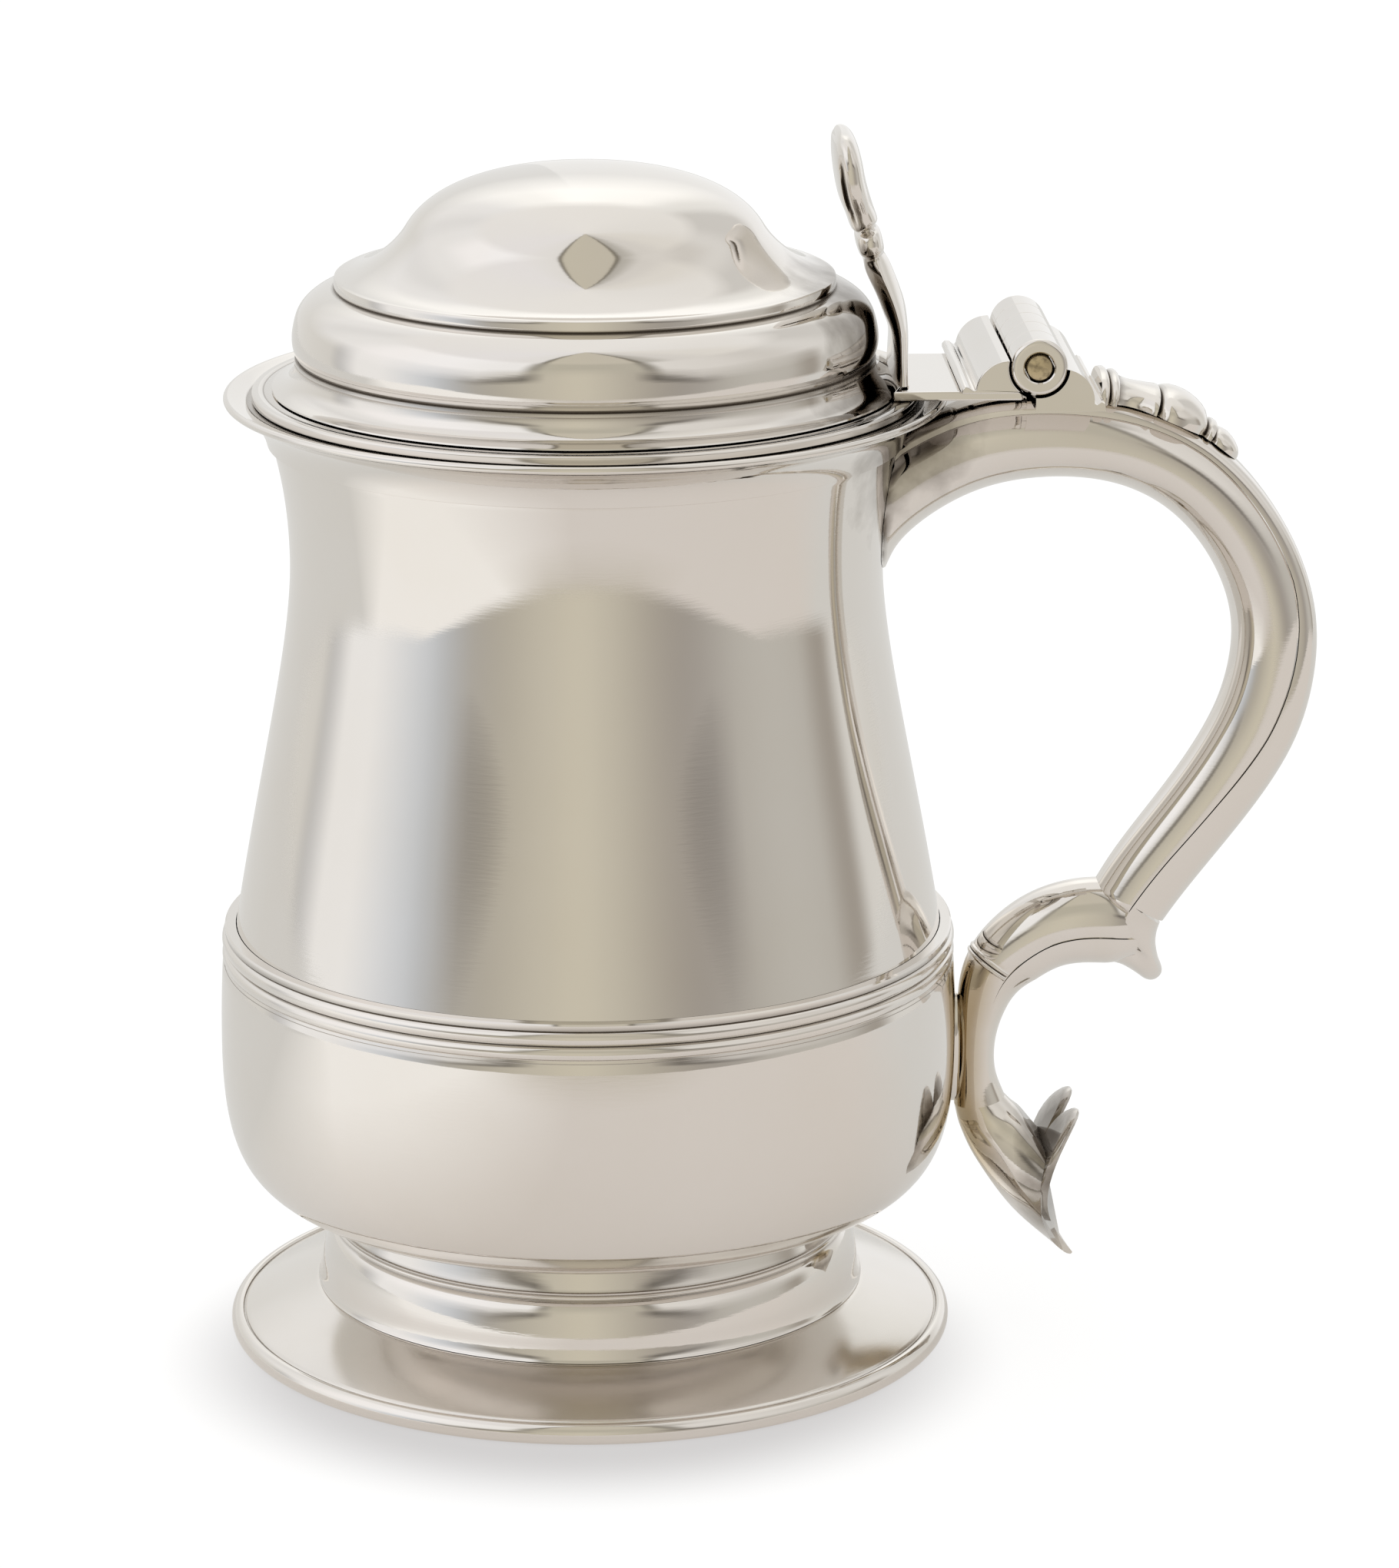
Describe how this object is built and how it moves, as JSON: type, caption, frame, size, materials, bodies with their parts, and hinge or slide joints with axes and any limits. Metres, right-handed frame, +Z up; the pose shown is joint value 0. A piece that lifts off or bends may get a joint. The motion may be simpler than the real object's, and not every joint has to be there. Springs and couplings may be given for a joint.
{
  "type": "silver tankard",
  "caption": "Lidded silver tankard of baluster shape with a moulded foot and girdle, a hollow double-scroll handle and a domed lid hinged at the handle and raised by a scroll thumbpiece.",
  "frame": {"origin": "middle of the bounding box in plan, on the surface that the foot stands on", "axes": "+Z up, +X towards the handle, +Y to the left of the handle"},
  "size_m": [0.181, 0.122, 0.2015],
  "materials": {
    "silver": "polished sterling silver with light wear",
    "pin_brass": "worn brass"
  },
  "bodies": {
    "vessel": {"body_shell": "silver", "lip_moulding": "silver", "girdle_band": "silver", "foot_collar": "silver", "foot_flange": "silver", "foot_wire": "silver", "upper_handle_channel": "silver", "upper_handle_strip": "silver", "handle_spur": "silver", "lower_handle_channel": "silver", "lower_handle_strip": "silver", "handle_collar": "silver", "handle_pad": "silver", "terminal_horn": "silver", "terminal_plate": "silver", "hinge_bed": "silver", "handle_drop": "silver", "handle_knuckle_1": "silver", "handle_knuckle_2": "silver", "handle_knuckle_3": "silver", "hinge_pin": "pin_brass"},
    "lid": {"lid_cover": "silver", "lid_flange": "silver", "lid_bezel": "silver", "lid_strap": "silver", "lid_hinge_block": "silver", "lid_knuckle_1": "silver", "lid_knuckle_2": "silver", "thumbpiece": "silver"}
  },
  "joints": [
    {"name": "lid_hinge", "type": "hinge", "parent": "vessel", "child": "lid", "pos_m": [0.04225, 0, 0.166], "axis": [0, 1, 0], "range_deg": [0, 105]}
  ]
}
